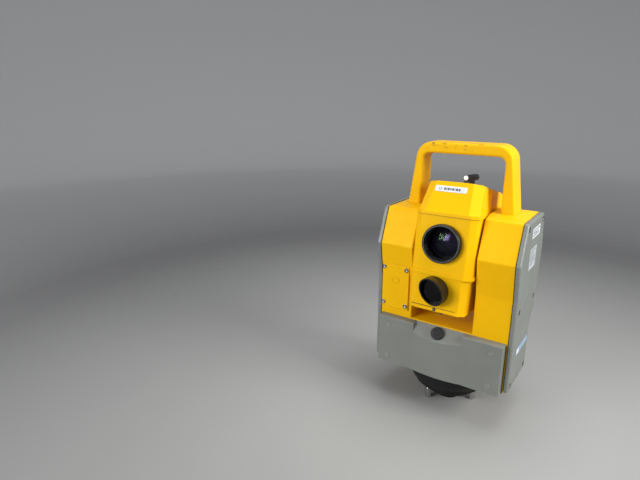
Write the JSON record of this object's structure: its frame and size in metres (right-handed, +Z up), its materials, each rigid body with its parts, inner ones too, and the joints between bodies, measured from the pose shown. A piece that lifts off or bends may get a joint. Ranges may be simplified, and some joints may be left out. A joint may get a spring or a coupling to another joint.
{
  "type": "surveying total station",
  "caption": "Robotic total station: U-shaped alidade with carrying handle turning on a centring base, and a boxy telescope tilting between the standards",
  "frame": {"origin": "on the vertical axis, level with the tips of the centring pins", "axes": "+Z up along the vertical axis, +X to the right as seen from the objective side, +Y towards the observer"},
  "size_m": [0.2159, 0.1838, 0.3925],
  "materials": {
    "yellow_paint": "satin powder-coated die casting",
    "grey_cover": "fine satin moulding",
    "black_anodised": "black anodised, satin",
    "bare_aluminium": "machined",
    "steel": "bright",
    "brass": "machined",
    "black_rubber": "matt",
    "black_plastic": "matt",
    "key_plastic": "satin",
    "keypad_rubber": "silicone mat",
    "circuit_board": "solder mask",
    "clear_glass": "polished",
    "coated_glass": "anti-reflection coated",
    "dark_glass": "infrared filter glass",
    "display_glass": "display window"
  },
  "bodies": {
    "base": {"base_flange": "black_anodised", "centring_pins": "steel", "vertical_spindle": "steel", "horizontal_circle": "clear_glass", "drive_ring": "brass"},
    "alidade": {"lower_housing": "black_anodised", "bearing_plate": "bare_aluminium", "spindle_bearings": "steel", "horizontal_encoder": "black_plastic", "horizontal_motor": "steel", "tilt_sensor": "bare_aluminium", "alidade_housing": "yellow_paint", "side_cover_seals": "black_rubber", "right_side_cover": "grey_cover", "left_side_cover": "grey_cover", "front_panel": "grey_cover", "antenna_socket": "brass", "service_plate": "yellow_paint", "cover_screws": "steel", "carry_handle": "yellow_paint", "handle_screws": "steel", "trunnion_bearings": "steel", "vertical_encoder": "black_plastic", "vertical_motor": "steel", "main_circuit_board": "circuit_board", "battery_compartment": "black_plastic"},
    "telescope": {"telescope_housing": "yellow_paint", "telescope_top_cover": "yellow_paint", "tracker_cover": "yellow_paint", "trunnion_axles": "steel", "vertical_circle": "clear_glass", "vertical_drive_wheel": "brass", "objective_ring": "black_anodised", "objective_lens": "coated_glass", "eyepiece_barrel": "black_anodised", "reticle": "clear_glass", "eyepiece_lens": "coated_glass", "tracker_tube": "black_anodised", "tracker_lens": "dark_glass", "guide_light": "black_plastic", "sight": "black_plastic", "distance_meter_board": "circuit_board"},
    "azimuth_roller": {"horizontal_drive_roller": "steel"},
    "elevation_roller": {"vertical_drive_roller": "steel"},
    "antenna_cap": {"antenna_cap": "black_rubber"},
    "battery": {"battery_pack": "black_plastic"},
    "battery_latch": {"battery_latch": "black_plastic"},
    "horizontal_knob": {"horizontal_motion_knob": "black_rubber"},
    "vertical_knob": {"vertical_motion_knob": "black_rubber"},
    "focus_ring": {"focus_ring": "black_rubber"},
    "focusing_unit": {"focusing_cell": "brass", "focusing_lens": "clear_glass"},
    "eyepiece_ring": {"eyepiece_ring": "black_rubber"},
    "control_unit": {"control_unit_case": "grey_cover", "display_window": "display_glass", "keypad": "keypad_rubber"},
    "power_key": {"power_key": "key_plastic"},
    "escape_key": {"escape_key": "key_plastic"},
    "function_key": {"function_key": "key_plastic"},
    "enter_key": {"enter_key": "key_plastic"}
  },
  "joints": [
    {"name": "azimuth", "type": "hinge", "parent": "base", "child": "alidade", "pos_m": [0, 0, 0.06], "axis": [0, 0, 1], "continuous": true},
    {"name": "elevation", "type": "hinge", "parent": "alidade", "child": "telescope", "pos_m": [0, 0, 0.256], "axis": [1, 0, 0], "continuous": true},
    {"name": "azimuth_roller_spin", "type": "hinge", "parent": "alidade", "child": "azimuth_roller", "pos_m": [0.04605, 0, 0.06], "axis": [0, 0, 1], "continuous": true},
    {"name": "elevation_roller_spin", "type": "hinge", "parent": "alidade", "child": "elevation_roller", "pos_m": [0.066, 0, 0.21995], "axis": [1, 0, 0], "continuous": true},
    {"name": "horizontal_knob_turn", "type": "hinge", "parent": "alidade", "child": "horizontal_knob", "pos_m": [-0.108, -0.019, 0.097], "axis": [1, 0, 0], "continuous": true},
    {"name": "vertical_knob_turn", "type": "hinge", "parent": "alidade", "child": "vertical_knob", "pos_m": [-0.108, 0, 0.256], "axis": [1, 0, 0], "continuous": true},
    {"name": "antenna_cap_pull", "type": "slide", "parent": "alidade", "child": "antenna_cap", "axis": [0, -0.7809, 0.6247], "range_m": [0, 0.012]},
    {"name": "battery_slide", "type": "slide", "parent": "alidade", "child": "battery", "axis": [-1, 0, 0], "range_m": [0, 0.055]},
    {"name": "battery_latch_slide", "type": "slide", "parent": "alidade", "child": "battery_latch", "axis": [0, 0, 1], "range_m": [0, 0.004], "stiffness_N_per_m": 200, "springref_m": -0.002},
    {"name": "control_unit_release", "type": "slide", "parent": "alidade", "child": "control_unit", "axis": [0, 1, 0], "range_m": [0, 0.04]},
    {"name": "focus_turn", "type": "hinge", "parent": "telescope", "child": "focus_ring", "pos_m": [0, 0.06663, 0.249], "axis": [0, 0.9945, -0.1045], "range_deg": [-150, 150]},
    {"name": "focus_travel", "type": "slide", "parent": "telescope", "child": "focusing_unit", "axis": [0, 0.9945, -0.1045], "range_m": [-0.0061, 0.0061]},
    {"name": "eyepiece_turn", "type": "hinge", "parent": "telescope", "child": "eyepiece_ring", "pos_m": [0, 0.07956, 0.24764], "axis": [0, 0.9945, -0.1045], "range_deg": [-120, 120]},
    {"name": "power_key_press", "type": "slide", "parent": "control_unit", "child": "power_key", "axis": [0, -0.9847, -0.1742], "range_m": [0, 0.0012], "stiffness_N_per_m": 300, "springref_m": -0.001},
    {"name": "escape_key_press", "type": "slide", "parent": "control_unit", "child": "escape_key", "axis": [0, -0.9847, -0.1742], "range_m": [0, 0.0012], "stiffness_N_per_m": 300, "springref_m": -0.001},
    {"name": "function_key_press", "type": "slide", "parent": "control_unit", "child": "function_key", "axis": [0, -0.9847, -0.1742], "range_m": [0, 0.0012], "stiffness_N_per_m": 300, "springref_m": -0.001},
    {"name": "enter_key_press", "type": "slide", "parent": "control_unit", "child": "enter_key", "axis": [0, -0.9847, -0.1742], "range_m": [0, 0.0012], "stiffness_N_per_m": 300, "springref_m": -0.001}
  ],
  "couplings": [
    {"joint": "azimuth_roller_spin", "follows": "azimuth", "ratio": 6.6667},
    {"joint": "elevation_roller_spin", "follows": "elevation", "ratio": -5},
    {"joint": "focus_travel", "follows": "focus_turn", "m_per_rad": 0.0022918}
  ]
}
